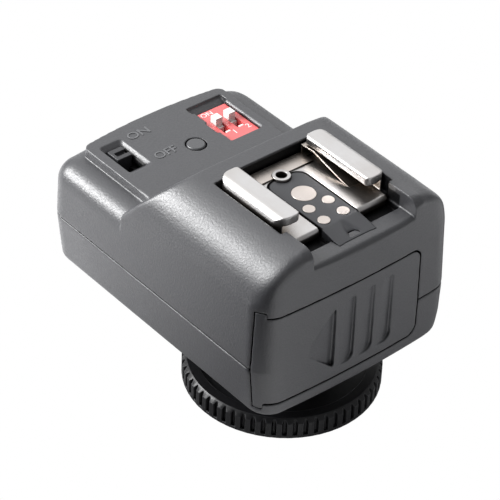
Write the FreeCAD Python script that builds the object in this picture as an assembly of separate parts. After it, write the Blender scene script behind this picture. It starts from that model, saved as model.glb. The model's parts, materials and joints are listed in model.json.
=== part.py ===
import FreeCAD, Part
import math
import os

# Wireless flash trigger receiver with a top accessory shoe, a control deck,
# an end battery door and a screw-down locking foot. Millimetres.
# Frame: +Z up, +X towards the battery-door end, +Y across the body.
# Origin: centre of the underside of the locking foot, on the locking-wheel axis.

# ---------------------------------------------------------------- housing
X_BACK, X_END = -35.0, 16.2          # ends at the parting plane
HALF_W = 18.55                       # half width at the parting plane
PLAN = (X_BACK, X_END, -HALF_W, HALF_W)
R_CORNER = 3.8                       # vertical corner radius
Z_BOT, Z_PART = 12.35, 21.1          # underside, parting plane
Z_FULL = 15.9                        # the lower wall changes draft here
Z_LOW, Z_DECK, Z_TOP = 30.6, 32.1, 39.8     # low shoulder, control deck, raised block
DRAFT_UP, DRAFT_LO = 0.03, 0.105     # wall draft above and below the parting plane
R_BLOCK, R_ENDTOP, R_RIM = 8.5, 2.3, 3.6    # block's long edges, its end edge, low shoulder
R_UNDERSIDE = 1.3
X_RAMP0, Z_RAMP0, X_RAMP1 = -16.9, 30.4, -8.4      # ramp from the deck up to the block
WALL = 1.6
CAVITY_X1 = 12.2                     # the end wall is solid from here to the door frame
DECK_X0, DECK_Y0, DECK_Y1 = -32.2, -13.8, 13.0
BOW_BACK, BOW_END, BOW_DECK = 0.8, 0.5, 0.8        # outward bow of the ends and the deck's edge

# ---------------------------------------------------------------- accessory shoe
X_SHOE = 2.6                         # centre contact
Z_SHOE = 37.7                        # top of the shoe floor
SHOE_HALF_IN = 9.33                  # ISO 518 channel, 18.66 wide
SHOE_HALF_GAP = 6.30                 # gap between the lips, 12.6
SHOE_CLEAR = 2.08                    # height of the channel
SHOE_LIP_T, SHOE_WALL_T, SHOE_FLOOR_T = 1.40, 0.87, 0.70
SHOE_X0, SHOE_X1 = -5.4, 10.4        # floor plate
LIP_X0, LIP_X1 = -4.8, 9.1           # lips
POCKET_Z = Z_SHOE - SHOE_FLOOR_T
TRENCH_X1 = 12.75
RECESS_X0 = X_SHOE - 5.12            # recess for the plastic insert
RECESS_HALF_W, RECESS_DEPTH = 3.72, 0.8
TABS = [(x, side * 7.3) for x in (-1.0, 6.6) for side in (-1, 1)]
EYELET_X, EYELET_HOLE_R = X_SHOE - 5.0, 1.42
# contacts: x, y, head radius, pin radius
CENTER_CONTACT = (X_SHOE, 0, 1.85, 0.7)
SMALL_CONTACTS = [(X_SHOE + dx, y, 0.95, 0.4) for dx in (3.25, 6.48) for y in (-1.83, 1.83)]
CONTACT_SINK = 0.35                  # contact heads sit this deep in the insert
SHOE_BOARD_Z0, SHOE_BOARD_Z1 = 33.2, 34.0

# ---------------------------------------------------------------- battery door and cells
DOOR_Y1 = 11.3
DOOR_Z0, DOOR_Z1 = 15.1, 30.7
WRAP_X0, WRAP_X1, WRAP_Y = 13.4, 15.4, -17.0       # part wrapping round the -Y side
FLANGE_X0, FLANGE_X1 = 13.45, 14.70                # flange, running in a groove
FLANGE_Y1 = DOOR_Y1 + 0.5
FLANGE_Z0, FLANGE_Z1 = DOOR_Z0 - 1.0, DOOR_Z1 + 0.9
DOOR_GAP = 0.18
R_DOOR = 1.8                         # the panel's two +Y corners

CELL_R, CELL_L = 5.25, 44.5          # AAA cell
CELL_NUB = 0.8
CELL_Z, CELL_X0 = 21.4, -31.2
CELL_Y = (-9.1, 1.9)
PLATE_X0, PLATE_X1 = -32.72, -32.42  # contact plates at the back of the cells

# ---------------------------------------------------------------- board, controls, screws
PCB_Z0, PCB_T = 27.1, 1.0
PCB_TOP = PCB_Z0 + PCB_T
BOSSES = ((-11.0, 13.0), (8.6, 13.0))
PCB_SCREWS = ((-29.6, 13.9), (-29.6, -14.3))
R_BOSS, R_PILOT, R_CLEARANCE, R_SCREW = 2.4, 0.85, 1.15, 0.84
SCREW_SEAT = 14.9
LEG_PITCH = 1.27

SWITCH_X0, SWITCH_X1, SWITCH_Y0, SWITCH_Y1 = -29.0, -23.6, -11.7, -8.8    # window
BUTTON_X, BUTTON_Y, BUTTON_R = -22.3, 0.3, 1.5
DIP_X0, DIP_X1, DIP_Y0, DIP_Y1 = -28.9, -19.8, 5.2, 11.3                  # window
DIP_PITCH = 2.54

# ---------------------------------------------------------------- locking foot
WHEEL_R, WHEEL_Z0, WHEEL_Z1, WHEEL_TEETH = 15.4, 2.2, 5.6, 60
TOOTH_DEPTH = 0.5
STEM_R, STEM_PITCH = 5.5, 1.5
THREAD_DEPTH, THREAD_FLANK, THREAD_CREST = 0.45, 0.42, 0.2
STEM_FLAT = 4.6                      # the stem's two flats key the pressure plate
FIT = 0.06                           # clearance round the stem
FOOT_T, FOOT_W, FOOT_L = 2.0, 18.5, 18.0
FOOT_PCD = 7.0
FOOT_SCREW_HOLE_R = 1.05
FOOT_HOLES = [(FOOT_PCD / 2 * math.cos(math.radians(a)), FOOT_PCD / 2 * math.sin(math.radians(a)))
              for a in (45, 135, 225, 315)]

FAR, SIDE = 60, 30                   # reach of cutting tools past the body, in X or Z and in Y
ARC_MID = 1 - math.sqrt(0.5)         # inset of a quarter arc's middle, per unit radius

os.makedirs("parts", exist_ok=True)
V = FreeCAD.Vector
X_AXIS, Y_AXIS, Z_AXIS = V(1, 0, 0), V(0, 1, 0), V(0, 0, 1)


# ---------------------------------------------------------------- helpers
def box(x0, x1, y0, y1, z0, z1):
    return Part.makeBox(x1 - x0, y1 - y0, z1 - z0, V(x0, y0, z0))


def side_box(side, x0, x1, y0, y1, z0, z1):
    """Box given for the +Y side, mirrored when side is -1."""
    return box(x0, x1, *sorted((side * y0, side * y1)), z0, z1)


def cyl(radius, height, x, y, z, axis=Z_AXIS):
    return Part.makeCylinder(radius, height, V(x, y, z), axis)


def cone(r0, r1, height, x, y, z):
    return Part.makeCone(r0, r1, height, V(x, y, z), Z_AXIS)


def fuse(first, *others):
    return first.fuse(list(others)).removeSplitter()


def cut(shape, *tools):
    for tool in tools:
        shape = shape.cut(tool)
    return shape


def save(name, shape):
    if shape.ShapeType != "Compound":
        shape = shape.removeSplitter()
    shape.exportStep("parts/%s.step" % name)


def plane_face(path, place):
    """Face inside a closed path of 2D points, which place() sets in space.
    A pair of points in the path is the middle and end of an arc."""
    edges = []
    start = place(*path[0])
    for step in path[1:] + path[:1]:
        if isinstance(step[0], tuple):
            middle, end = (place(*point) for point in step)
            edges.append(Part.Arc(start, middle, end).toShape())
        else:
            end = place(*step)
            edges.append(Part.makeLine(start, end))
        start = end
    return Part.Face(Part.Wire(edges))


def yz_prism(path, x0, x1):
    return plane_face(path, lambda y, z: V(x0, y, z)).extrude(V(x1 - x0, 0, 0))


def xz_prism(path, y0, y1):
    return plane_face(path, lambda x, z: V(x, y0, z)).extrude(V(0, y1 - y0, 0))


def xy_prism(path, z0, z1):
    return plane_face(path, lambda x, y: V(x, y, z0)).extrude(V(0, 0, z1 - z0))


def bow_angle(half_w, radius, bow):
    """Half opening angle of an end arc of sagitta bow that runs tangent into the corners."""
    angle = 0.0
    for _ in range(40):
        angle = 2 * math.atan(bow / (half_w - radius + radius * math.sin(angle)))
    return angle


def rounded_wire(x0, x1, y0, y1, radius, z, bow0=0.0, bow1=0.0):
    """Rounded rectangle; bow0 and bow1 bow its -X and +X ends outwards."""
    half_w = (y1 - y0) / 2
    t0, t1 = (bow_angle(half_w, radius, bow) if bow else 0.0 for bow in (bow0, bow1))
    cx1, cx0 = x1 - radius * math.cos(t1), x0 + radius * math.cos(t0)
    cy0, cy1 = y0 + radius, y1 - radius
    right = math.pi / 2
    arcs = []
    for cx, cy, a0, a1 in ((cx1, cy0, -right, -t1), (cx1, cy1, t1, right),
                           (cx0, cy1, right, 2 * right - t0),
                           (cx0, cy0, 2 * right + t0, 3 * right)):
        arcs.append([V(cx + radius * math.cos(a), cy + radius * math.sin(a), z)
                     for a in (a0, (a0 + a1) / 2, a1)])
    edges = []
    for i, bow in enumerate((0.0, bow1, 0.0, -bow0)):
        start, end = arcs[i - 1][2], arcs[i][0]
        if bow:
            edges.append(Part.Arc(start, (start + end) * 0.5 + V(bow, 0, 0), end).toShape())
        else:
            edges.append(Part.makeLine(start, end))
        edges.append(Part.Arc(*arcs[i]).toShape())
    return Part.Wire(edges)


def rounded_box(x0, x1, y0, y1, z0, z1, radius):
    return Part.Face(rounded_wire(x0, x1, y0, y1, radius, z0)).extrude(V(0, 0, z1 - z0))


def rounded_loft(plan0, z0, plan1, z1, r0, r1, bow0=0.0, bow1=0.0):
    return Part.makeLoft([rounded_wire(*plan0, r0, z0, bow0, bow1),
                          rounded_wire(*plan1, r1, z1, bow0, bow1)], True, True)


def shrink(plan, d):
    x0, x1, y0, y1 = plan
    return x0 + d, x1 - d, y0 + d, y1 - d


def level_edges(shape, z, tolerance):
    return [e for e in shape.Edges
            if abs(e.BoundBox.ZMax - z) < tolerance and abs(e.BoundBox.ZMin - z) < tolerance]


def cut_cross(screw, x, y, half_long, half_short, z0, z1):
    for dx, dy in ((half_long, half_short), (half_short, half_long)):
        screw = screw.cut(box(x - dx, x + dx, y - dy, y + dy, z0, z1))
    return screw


# ---------------------------------------------------------------- housing envelope
def raised_block(inset, z0):
    """Block with rounded long edges, ending towards the deck in a ramp."""
    z_top = Z_TOP - inset
    half = HALF_W - DRAFT_UP * (Z_TOP - R_BLOCK - Z_PART) - inset
    r = R_BLOCK - inset
    k = r * ARC_MID
    half_foot = half + 0.05 * (z_top - r - z0)    # wider below, so the drafted wall decides there
    block = yz_prism([(-half_foot, z0), (-half, z_top - r),
                      ((-half + k, z_top - k), (-half + r, z_top)),
                      (half - r, z_top),
                      ((half - k, z_top - k), (half, z_top - r)),
                      (half_foot, z0)], X_RAMP0 - 1, X_END + 2)
    slope = (Z_TOP - Z_RAMP0) / (X_RAMP1 - X_RAMP0)
    shift = inset * math.sqrt(1 + slope * slope) / slope
    ramp_x0 = X_RAMP0 + inset
    ramp_z0 = Z_RAMP0 + (ramp_x0 - shift - X_RAMP0) * slope
    ramp_x1 = X_RAMP1 + shift - inset / slope
    r_end = R_ENDTOP - min(inset, 1.5)
    k = r_end * ARC_MID
    x_end = X_END + BOW_END - inset - DRAFT_UP * (z_top - r_end - Z_PART)
    return block.common(xz_prism([(ramp_x0, z0), (ramp_x0, ramp_z0), (ramp_x1, z_top),
                                  (x_end - r_end, z_top),
                                  ((x_end - k, z_top - k), (x_end, z_top - r_end)),
                                  (x_end + 3, z0)], -SIDE, SIDE))


def upper_envelope(inset=0.0, z0=Z_PART):
    """Outer (inset 0) or inset skin of the upper housing."""
    z_loft = Z_TOP + 1.0
    corner = R_CORNER - min(inset, 2.2)
    plan = shrink(PLAN, inset)
    loft = rounded_loft(plan, z0, shrink(plan, DRAFT_UP * (z_loft - Z_PART)), z_loft,
                        corner, corner, BOW_BACK, BOW_END)
    # low end: the drafted plan shape cut off level, its rim rounded
    z_low = Z_LOW - inset
    low = loft.common(box(-FAR, X_RAMP0 + 3 + inset, -SIDE, SIDE, z0 - 1, z_low))
    rim = [e for e in level_edges(low, z_low, 1e-5) if e.CenterOfMass.x < X_RAMP0 + 2.5 + inset]
    low = low.makeFillet(R_RIM - min(inset, 2.0), rim)
    shape = low.fuse(raised_block(inset, z0))
    flare = 0.25                     # the deck's sides spread downwards
    x0, x1, y0, y1 = DECK_X0 + inset, X_RAMP0 + 8, DECK_Y0 + inset, DECK_Y1 - inset
    deck = rounded_loft((x0 - flare, x1, y0 - flare, y1 + flare), Z_LOW - 3 - inset,
                        (x0, x1, y0, y1), Z_DECK - inset, 1.4, 1.4, BOW_DECK)
    ramp_x = X_RAMP0 + inset
    shape = shape.fuse(deck.common(box(ramp_x - 20, ramp_x + 6, -SIDE, SIDE, z0 - 1, Z_DECK + 2)))
    return shape.common(loft).removeSplitter()


def lower_envelope(inset=0.0):
    """Outer (inset 0) or inset skin of the lower housing."""
    z0 = Z_BOT + inset
    x0, x1, y0, y1 = top_plan = shrink(PLAN, inset)
    narrow = DRAFT_LO * (Z_PART - z0)
    bottom_plan = (x0 + 0.1, x1 + 0.1, y0 + narrow, y1 - narrow)
    # the +Y wall stays full further down
    full_plan = (x0 + 0.04, x1 + 0.04, y0 + DRAFT_LO * (Z_PART - Z_FULL), y1 - 0.16)
    corner = R_CORNER - min(inset, 2.2)
    shape = rounded_loft(bottom_plan, z0, full_plan, Z_FULL, corner, corner, BOW_BACK, BOW_END)
    shape = shape.fuse(rounded_loft(full_plan, Z_FULL, top_plan, Z_PART,
                                    corner, corner, BOW_BACK, BOW_END)).removeSplitter()
    if inset == 0.0:
        shape = shape.makeFillet(R_UNDERSIDE, level_edges(shape, z0, 1e-6))
    return shape


def trim_cavity(shape):
    return shape.common(box(-FAR, CAVITY_X1, -SIDE, SIDE, 0, FAR))


# ---------------------------------------------------------------- door openings
def door_panel_space(gap):
    """Space of the door panel grown by gap, its +Y corners rounded."""
    x0, x1, y1 = FLANGE_X1 - 0.01, X_END + 2, DOOR_Y1 + gap
    space = box(x0, x1, -SIDE, y1, DOOR_Z0 - gap, DOOR_Z1 + gap)
    for z, inward in ((DOOR_Z0 - gap, 1), (DOOR_Z1 + gap, -1)):
        corner = box(x0, x1, y1 - R_DOOR, y1, *sorted((z, z + inward * R_DOOR)))
        space = space.cut(corner.cut(
            cyl(R_DOOR, 5, FLANGE_X1 - 1, y1 - R_DOOR, z + inward * R_DOOR, X_AXIS)))
    return space


def door_openings():
    """Panel, wrap and flange spaces, and the mouth of the cell bay."""
    z0, z1 = FLANGE_Z0 - DOOR_GAP, FLANGE_Z1 + DOOR_GAP
    return (door_panel_space(DOOR_GAP),
            box(WRAP_X0 - DOOR_GAP, WRAP_X1 + DOOR_GAP, -SIDE, WRAP_Y, z0, z1),
            box(FLANGE_X0 - 0.05, FLANGE_X1 + 0.06, -SIDE, FLANGE_Y1 + DOOR_GAP, z0, z1),
            box(12.0, 13.6, -16.4, 9.2, 16.0, 26.85))


# ---------------------------------------------------------------- top shell
def hollow_top():
    """Hollowed upper housing with its screw bosses and one rib."""
    inner = upper_envelope(WALL, Z_PART - 0.5)
    inner = inner.cut(box(X_SHOE - 9.6, X_END + 1, -11.6, 11.6, POCKET_Z - WALL, Z_TOP + 2))
    top = UPPER.cut(trim_cavity(inner))
    for spots, radius, height in ((BOSSES, R_BOSS, 8.5), (PCB_SCREWS, 1.65, 2.0)):
        for x, y in spots:
            top = top.fuse(cyl(radius, height, x, y, PCB_TOP).common(UPPER))
    rib_x = -6.0                     # stiffening rib across the roof of the block
    top = top.fuse(box(rib_x - 0.5, rib_x + 0.5, -15.5, 15.5, 33.2, 37.5).common(UPPER))
    for spots, depth in ((BOSSES, 6.0), (PCB_SCREWS, 1.8)):
        for x, y in spots:
            top = top.cut(cyl(R_PILOT, depth, x, y, PCB_TOP - 0.1))
    return top


def cut_shoe_pocket(top):
    # pocket, open at the battery-door end
    z_open = Z_TOP + 3
    top = top.cut(fuse(box(-5.0, LIP_X1 + 0.8, -10.52, 10.52, POCKET_Z, z_open),
                       box(SHOE_X0 - 0.12, 0.0, -8.6, 8.6, POCKET_Z, z_open),
                       box(LIP_X1, X_END + 2, -9.65, 9.65, POCKET_Z, z_open)))
    # trench for the shoe's apron on both sides of the tongue
    for side in (-1, 1):
        top = top.cut(side_box(side, 9.6, TRENCH_X1, 3.75, 9.5, 35.9, POCKET_Z + 0.1))
    # rounded rim at the door end
    rim_x, rim_z = 15.2, 35.95
    rim = box(rim_x, 18.0, -9.65, 9.65, rim_z, POCKET_Z + 0.1)
    top = top.cut(rim.cut(cyl(1.05, 24, rim_x, -12, rim_z, Y_AXIS)))
    # recess for the plastic insert, and the opening for its lower block
    top = top.cut(box(RECESS_X0, TRENCH_X1, -RECESS_HALF_W, RECESS_HALF_W,
                      POCKET_Z - RECESS_DEPTH, POCKET_Z + 1))
    top = top.cut(box(X_SHOE - 3.6, X_SHOE + 8.2, -2.9, 2.9, POCKET_Z - 3, POCKET_Z))
    for x, y in TABS:
        top = top.cut(box(x - 1.3, x + 1.3, y - 0.5, y + 0.5, POCKET_Z - 3, POCKET_Z + 0.1))
    return top.cut(cyl(1.3, 4, EYELET_X, 0, POCKET_Z - 3))


def cut_deck(top):
    # switch pit and window
    pit_top = (SWITCH_X0 - 1.4, SWITCH_X1 + 1.3, SWITCH_Y0 - 0.5, SWITCH_Y1 + 0.85)
    pit_floor = (SWITCH_X0 - 0.15, SWITCH_X1 + 0.15, SWITCH_Y0 - 0.1, SWITCH_Y1 + 0.15)
    top = top.cut(rounded_loft(pit_floor, Z_DECK - 0.75, pit_top, Z_DECK + 0.02, 0.3, 0.6))
    top = top.cut(box(SWITCH_X0, SWITCH_X1, SWITCH_Y0, SWITCH_Y1, Z_DECK - 4, Z_DECK + 1))
    top = top.cut(cyl(BUTTON_R + 0.18, 5, BUTTON_X, BUTTON_Y, Z_DECK - 3))
    # DIP window, a sloped lead-in on its -X end, a bevel on its +Y edge, a notch on its -Y edge
    top = top.cut(box(DIP_X0, DIP_X1, DIP_Y0, DIP_Y1, Z_DECK - 4, Z_DECK + 1))
    z_over = Z_DECK + 0.05
    top = top.cut(xz_prism([(DIP_X0 + 0.05, Z_DECK - 1.0), (DIP_X0 - 1.5, Z_DECK - 0.35),
                            (DIP_X0 - 1.5, z_over), (DIP_X0 + 0.05, z_over)],
                           DIP_Y0 - 0.4, DIP_Y1 + 0.4))
    top = top.cut(yz_prism([(DIP_Y1 - 0.05, Z_DECK - 0.32), (DIP_Y1 + 0.4, z_over),
                            (DIP_Y1 - 0.05, z_over)], DIP_X0 - 0.1, DIP_X1))
    return top.cut(box(DIP_X0 + 3.2, DIP_X0 + 6.3, DIP_Y0 - 0.35, DIP_Y0 + 0.1,
                       Z_DECK - 0.6, Z_DECK + 1))


UPPER = upper_envelope()
LOWER = lower_envelope()
OPENINGS = door_openings()
save("top_shell", cut(cut_deck(cut_shoe_pocket(hollow_top())), *OPENINGS))


# ---------------------------------------------------------------- bottom shell
def parting_lip():
    """Lip along the parting plane that locates the top shell."""
    x0, half = X_BACK + WALL, HALF_W - WALL
    lip = rounded_box(x0 + 0.15, 12.0, -half + 0.12, half - 0.12, Z_PART - 1.2, Z_PART + 0.9, 2.5)
    z0, z1 = Z_PART - 2, Z_PART + 2
    lip = lip.cut(rounded_box(x0 + 0.9, 11.3, -half + 0.85, half - 0.85, z0, z1, 1.2))
    lip = lip.cut(box(9.0, 14, -17, 9.4, z0, z1))
    lip = lip.cut(box(-33.6, -30, -13.0, 5.8, z0, z1))
    return lip.common(LOWER.fuse(box(-FAR, FAR, -FAR, FAR, Z_PART, Z_PART + 5)))


def bottom_shell():
    floor_z = Z_BOT + 1.0            # inner features start inside the floor
    shell = LOWER.cut(trim_cavity(lower_envelope(WALL)))
    shell = shell.fuse(parting_lip())
    cells = [cyl(CELL_R + 0.12, 60, CELL_X0 - 5, y, CELL_Z, X_AXIS) for y in CELL_Y]
    for x in (-26.0, -10.0, 7.0):    # cradle ribs under the cells
        shell = shell.fuse(cut(box(x - 0.6, x + 0.6, -16.6, 8.2, floor_z, 19.2), *cells))
    # wall beside the cells
    shell = shell.fuse(cut(box(-33.0, 12.3, 8.2, 9.2, floor_z, 20.8), *cells))
    shell = shell.fuse(cyl(7.0, 1.5, 0, 0, floor_z))
    for x, y in BOSSES:
        shell = shell.fuse(cyl(R_BOSS, PCB_Z0 - Z_BOT - 1.05, x, y, floor_z))
    for x, y in BOSSES:
        shell = shell.cut(cyl(R_CLEARANCE, 20, x, y, Z_BOT - 1))
        shell = shell.cut(cyl(2.1, SCREW_SEAT - Z_BOT + 0.5, x, y, Z_BOT - 0.5))
    for x, y in FOOT_HOLES:
        shell = shell.cut(cyl(R_PILOT, 3.0, x, y, Z_BOT - 0.5))
    return cut(shell, *OPENINGS)


save("bottom_shell", bottom_shell())


# ---------------------------------------------------------------- battery door
def grip_wedge(y_deep, y_shallow, z0, z1, depth):
    """Ramp-floored recess in the bowed door face."""
    face_x = X_END - 0.05 + BOW_END * (1 - ((y_deep + y_shallow) / 2 / 15.0) ** 2)
    return xy_prism([(face_x - depth, y_deep), (face_x + 1.5, y_deep),
                     (face_x + 1.5, y_shallow), (face_x + 0.05, y_shallow)], z0, z1)


def corner_waste(y, z, r):
    """What lies outside a rounded lower +Y corner at (y, z)."""
    return box(10, 20, y - r, y + 0.5, z - 0.5, z + r).cut(cyl(r, 10, 10, y - r, z + r, X_AXIS))


def battery_door():
    body = UPPER.fuse(LOWER)
    panel = body.common(door_panel_space(0.0))
    wrap = body.common(box(WRAP_X0, WRAP_X1, -SIDE, WRAP_Y, FLANGE_Z0, FLANGE_Z1))
    wrap_face = body.common(box(WRAP_X1 - 0.01, 30, -SIDE, WRAP_Y, DOOR_Z0, DOOR_Z1))
    flange = box(FLANGE_X0, FLANGE_X1 + 0.001, WRAP_Y, FLANGE_Y1, FLANGE_Z0, FLANGE_Z1)
    door = fuse(panel, wrap, wrap_face, flange)
    # pocket for the bridge plate
    door = door.cut(box(FLANGE_X0 - 0.1, FLANGE_X0 + 0.35, -14.6, 7.6, CELL_Z - 4.6, CELL_Z + 4.6))
    # thumb grip: three recesses, deepest on their +Y edge, and a triangular one
    z0 = DOOR_Z0 + 1.7
    for y, z1 in ((-1.4, 28.4), (2.25, 28.6), (5.9, 28.7)):
        door = door.cut(grip_wedge(y, y - 3.1, z0, z1, 0.55).cut(corner_waste(y, z0, 1.3)))
    y = -5.1
    triangle = yz_prism([(y, 27.9), (y, 16.9), (-10.8, 21.9)], X_END - 2, X_END + 3)
    triangle = triangle.common(grip_wedge(y, -10.9, 16.0, 29.0, 0.6))
    return door.cut(triangle.cut(corner_waste(y, 16.95, 0.8)))


save("battery_door", battery_door())
save("door_bridge_plate",
     box(FLANGE_X0, FLANGE_X0 + 0.30, -14.5, 7.5, CELL_Z - 4.5, CELL_Z + 4.5))

# ---------------------------------------------------------------- shoe bracket
LIP_Z0 = Z_SHOE + SHOE_CLEAR
LIP_Z1 = LIP_Z0 + SHOE_LIP_T
RAIL_Y = SHOE_HALF_IN + SHOE_WALL_T


def rail(side):
    """Wall and lip of the channel on one side, with a rounded outer bend."""
    r_bend, r_lip = 1.25, 0.45
    k_bend, k_lip = r_bend * ARC_MID, r_lip * ARC_MID
    path = [(SHOE_HALF_IN, POCKET_Z), (RAIL_Y, POCKET_Z), (RAIL_Y, LIP_Z1 - r_bend),
            ((RAIL_Y - k_bend, LIP_Z1 - k_bend), (RAIL_Y - r_bend, LIP_Z1)),
            (SHOE_HALF_GAP + r_lip, LIP_Z1),
            ((SHOE_HALF_GAP + k_lip, LIP_Z1 - k_lip), (SHOE_HALF_GAP, LIP_Z1 - r_lip)),
            (SHOE_HALF_GAP, LIP_Z0), (SHOE_HALF_IN, LIP_Z0)]
    face = plane_face(path, lambda y, z: V(LIP_X0, side * y, z))
    shape = face.extrude(V(LIP_X1 - LIP_X0, 0, 0))
    # rounded plan corners, outside and at the mouth of the channel
    z0, z1 = POCKET_Z - 1, LIP_Z1 + 1
    shape = shape.common(
        rounded_box(LIP_X0, LIP_X1, -RAIL_Y - 0.001, RAIL_Y + 0.001, z0, z1, 2.0))
    y0, y1 = sorted((side * SHOE_HALF_GAP, side * (RAIL_Y + 6)))
    return shape.common(rounded_box(LIP_X0, LIP_X1, y0, y1, z0, z1, 0.8))


def shoe_bracket():
    floor = box(SHOE_X0, SHOE_X1, -SHOE_HALF_IN, SHOE_HALF_IN, POCKET_Z, Z_SHOE)
    z0, z1 = POCKET_Z - 1, Z_SHOE + 1
    for side in (-1, 1):             # -X corners clear of the housing
        floor = floor.cut(side_box(side, SHOE_X0 - 0.1, -4.9, 8.5, 9.5, z0, z1))
    floor = floor.cut(rounded_box(RECESS_X0, SHOE_X1 + 4, -RECESS_HALF_W, RECESS_HALF_W,
                                  z0, z1, 2.1))
    floor = floor.cut(cyl(EYELET_HOLE_R, 3, EYELET_X, 0, z0))
    apron_x = SHOE_X1 - SHOE_FLOOR_T
    for side in (-1, 1):             # rounded apron at the door end
        edge = side_box(side, apron_x, SHOE_X1 + 0.01, 3.6, SHOE_HALF_IN, POCKET_Z, Z_SHOE)
        floor = floor.cut(edge.cut(cyl(SHOE_FLOOR_T, 20, apron_x, -10, POCKET_Z, Y_AXIS)))
        floor = floor.fuse(side_box(side, apron_x, SHOE_X1, 3.8, 9.0, 36.3, POCKET_Z + 0.01))
    tabs = [box(x - 1.2, x + 1.2, y - 0.4, y + 0.4, POCKET_Z - 2.2, POCKET_Z + 0.01)
            for x, y in TABS]
    return fuse(floor, rail(-1), rail(1), *tabs)


save("shoe_bracket", shoe_bracket())

# ---------------------------------------------------------------- shoe spring
SPRING_T = 0.25


def shoe_spring():
    """Thin strip on the -X end of the floor, with two leaves that rise under the lips."""
    x0 = SHOE_X0 + 0.1
    strip = box(x0, X_SHOE - 5.15, -6.2, 6.2, Z_SHOE, Z_SHOE + SPRING_T)
    strip = strip.cut(cyl(EYELET_HOLE_R, 3, EYELET_X, 0, Z_SHOE - 1))
    y_in, y_out = 6.15, 8.45
    x_peak, x_down = -2.5, 4.0
    z_root, z_peak, z_floor = Z_SHOE + 1.35, Z_SHOE + 1.62, Z_SHOE + 0.001
    leaves = []
    for side in (-1, 1):
        leaf = xz_prism([(x0, z_root), (x0, z_root + SPRING_T), (x_peak, z_peak + SPRING_T),
                         (x_down, Z_SHOE + 0.02 + SPRING_T), (x_down + 1.5, z_floor),
                         (x_down, z_floor), (x_peak, z_peak)],
                        *sorted((side * y_in, side * y_out)))
        riser = side_box(side, x0, x0 + SPRING_T, y_in, y_out, z_floor, Z_SHOE + 1.5)
        foot = side_box(side, x0, x0 + 1.3, y_in - 0.2, y_out, Z_SHOE, Z_SHOE + SPRING_T)
        leaves += [leaf, riser, foot]
    return fuse(strip, *leaves)


save("shoe_spring", shoe_spring())


# ---------------------------------------------------------------- shoe insert
def shoe_insert():
    """Plastic insert with a tongue that runs down to the ledge at the door end."""
    half_w = 3.54
    z_base = POCKET_Z - RECESS_DEPTH
    insert = rounded_box(X_SHOE - 4.95, SHOE_X1 + 2.0, -half_w, half_w, z_base, Z_SHOE, 1.9)
    insert = insert.common(box(-30, SHOE_X1, -SIDE, SIDE, 0, FAR))
    tongue_l, tip_z = 4.0, 37.05
    x0, x_step, x1 = SHOE_X1 - 0.01, TRENCH_X1 - 0.08, SHOE_X1 + tongue_l
    z_ledge = POCKET_Z + 0.001
    tongue = xz_prism([(x0, z_base), (x0, Z_SHOE), (x1, tip_z), (x1, z_ledge),
                       (x_step, z_ledge), (x_step, z_base)], -half_w, half_w)
    insert = insert.fuse(tongue).removeSplitter()
    insert = insert.cut(cyl(EYELET_HOLE_R, 3, EYELET_X, 0, POCKET_Z - 1.5))
    insert = fuse(insert, box(X_SHOE - 3.5, X_SHOE + 8.1, -2.8, 2.8, POCKET_Z - 1.5, POCKET_Z))
    for x, y, r_head, r_pin in [CENTER_CONTACT] + SMALL_CONTACTS:
        insert = cut(insert, cyl(r_head, CONTACT_SINK, x, y, Z_SHOE - CONTACT_SINK),
                     cyl(r_pin, 5, x, y, POCKET_Z - 3))
    # shallow trough along the tongue
    slope = (tip_z - Z_SHOE) / tongue_l
    return insert.cut(cyl(1.6, 3.2, SHOE_X1 + 0.6, 0.1, Z_SHOE + 0.6 * slope + 1.58,
                          V(1, 0, slope - 0.14)))


save("shoe_insert", shoe_insert())


# ---------------------------------------------------------------- shoe contacts and board
def contact(x, y, r_head, r_pin):
    return fuse(cyl(r_head, 0.40, x, y, Z_SHOE - CONTACT_SINK),
                cyl(r_pin, Z_SHOE - 0.3 - SHOE_BOARD_Z1, x, y, SHOE_BOARD_Z1))


save("center_contact", contact(*CENTER_CONTACT))
save("small_contacts", Part.makeCompound([contact(*spec) for spec in SMALL_CONTACTS]))
save("lock_pin_eyelet", cut(
    fuse(cyl(1.40, 0.16, EYELET_X, 0, Z_SHOE + SPRING_T),
         cyl(1.40, Z_SHOE + SPRING_T - POCKET_Z, EYELET_X, 0, POCKET_Z)),
    cyl(0.85, 5, EYELET_X, 0, POCKET_Z - 2)))
save("shoe_board",
     box(X_SHOE - 4.4, X_SHOE + 8.6, -5.0, 5.0, SHOE_BOARD_Z0, SHOE_BOARD_Z1))
save("shoe_wires", Part.makeCompound(
    [cyl(0.35, SHOE_BOARD_Z0 - PCB_TOP, X_SHOE - 3.9, y, PCB_TOP) for y in (-1.9, 0.0, 1.9)]))


# ---------------------------------------------------------------- main board and components
def main_board():
    board = rounded_box(-32.3, 12.0, -16.2, 16.2, PCB_Z0, PCB_TOP, 1.5)
    for x, y in BOSSES + PCB_SCREWS:
        board = board.cut(cyl(R_CLEARANCE, 3, x, y, PCB_Z0 - 1))
    return board


def controller_chip():
    legs = []
    for i in range(4):
        x = -14.9 + LEG_PITCH * i
        legs.append(box(x - 0.2, x + 0.2, -4.0, 4.0, PCB_TOP, PCB_TOP + 0.5))
    return fuse(box(-15.5, -10.5, -3.0, 3.0, PCB_TOP + 0.1, PCB_TOP + 1.6), *legs)


def sync_thyristor():
    legs = [box(0.1 + LEG_PITCH * i, 0.5 + LEG_PITCH * i, 10.6, 11.0, PCB_TOP, PCB_TOP + 0.7)
            for i in range(3)]
    return fuse(box(-0.5, 4.0, 10.0, 11.6, PCB_TOP + 0.6, PCB_TOP + 4.6), *legs)


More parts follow.
